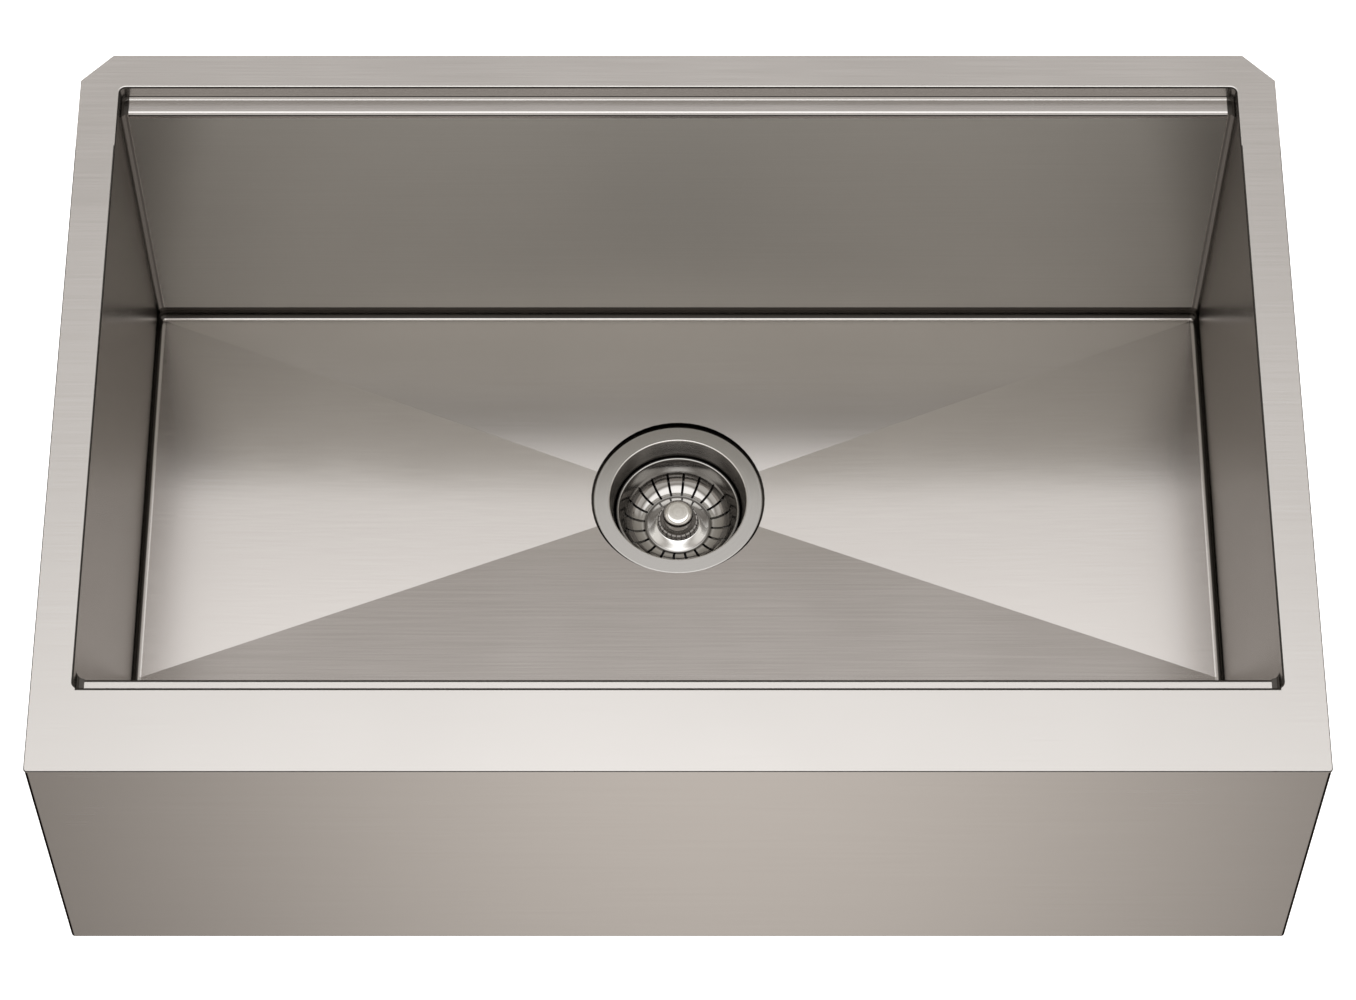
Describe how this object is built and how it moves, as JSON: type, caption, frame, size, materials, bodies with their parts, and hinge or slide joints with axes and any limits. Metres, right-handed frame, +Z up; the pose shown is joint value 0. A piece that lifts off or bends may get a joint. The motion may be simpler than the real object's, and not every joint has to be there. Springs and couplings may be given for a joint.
{
  "type": "apron-front kitchen sink",
  "caption": "Single-bowl farmhouse kitchen sink in folded stainless sheet: straight apron front, board ledges, creased floor and a drain with a lift-out basket strainer.",
  "frame": {"origin": "on the drain's axis, in the plane of the deck's top face", "axes": "+X to the user's right, +Y from the apron towards the wall, +Z up"},
  "size_m": [0.835, 0.5605, 0.4507],
  "materials": {
    "deck_steel": "fine brushed, warm grey",
    "bowl_steel": "fine brushed, warm grey",
    "apron_steel": "fine brushed, warm grey",
    "strainer_steel": "satin turned",
    "basket_steel": "polished",
    "hidden_steel": "plain zinc-coated sheet",
    "pad_rubber": "matt",
    "seal_rubber": "matt",
    "fibre": "plain fibre board",
    "cast_zinc": "as cast, zinc grey",
    "white_nylon": "moulded",
    "nut_brass": "turned",
    "tube_steel": "polished tube"
  },
  "bodies": {
    "sink": {"deck_rim": "deck_steel", "bowl_floor": "bowl_steel", "bowl_wall_left": "bowl_steel", "bowl_wall_right": "bowl_steel", "bowl_wall_front": "bowl_steel", "bowl_wall_back": "bowl_steel", "ledge_front": "bowl_steel", "ledge_back": "bowl_steel", "riser_front": "bowl_steel", "riser_back": "bowl_steel", "apron_panel": "apron_steel", "apron_brace_left": "hidden_steel", "apron_brace_right": "hidden_steel", "floor_pad_left": "pad_rubber", "floor_pad_right": "pad_rubber", "floor_pad_front": "pad_rubber", "floor_pad_back": "pad_rubber", "wall_pad_left": "pad_rubber", "wall_pad_right": "pad_rubber", "wall_pad_front": "pad_rubber", "wall_pad_back": "pad_rubber", "apron_pad": "pad_rubber", "strainer_body": "strainer_steel", "strainer_cross": "strainer_steel", "post_socket": "strainer_steel", "flange_seal": "seal_rubber", "sink_gasket": "seal_rubber", "friction_ring": "fibre", "strainer_locknut": "cast_zinc", "slip_washer": "white_nylon", "coupling_nut": "nut_brass", "tailpiece": "tube_steel"},
    "sleeve": {"post_sleeve": "white_nylon"},
    "basket": {"basket_cup": "basket_steel", "basket_knob": "basket_steel", "basket_post": "basket_steel", "stopper_seal": "seal_rubber", "seal_plate": "basket_steel"}
  },
  "joints": [
    {"name": "basket_lift", "type": "slide", "parent": "sink", "child": "sleeve", "axis": [0, 0, 1], "range_m": [0, 0.08]},
    {"name": "basket_turn", "type": "hinge", "parent": "sleeve", "child": "basket", "pos_m": [0, 0, -0.2826], "axis": [0, 0, 1], "continuous": true}
  ]
}
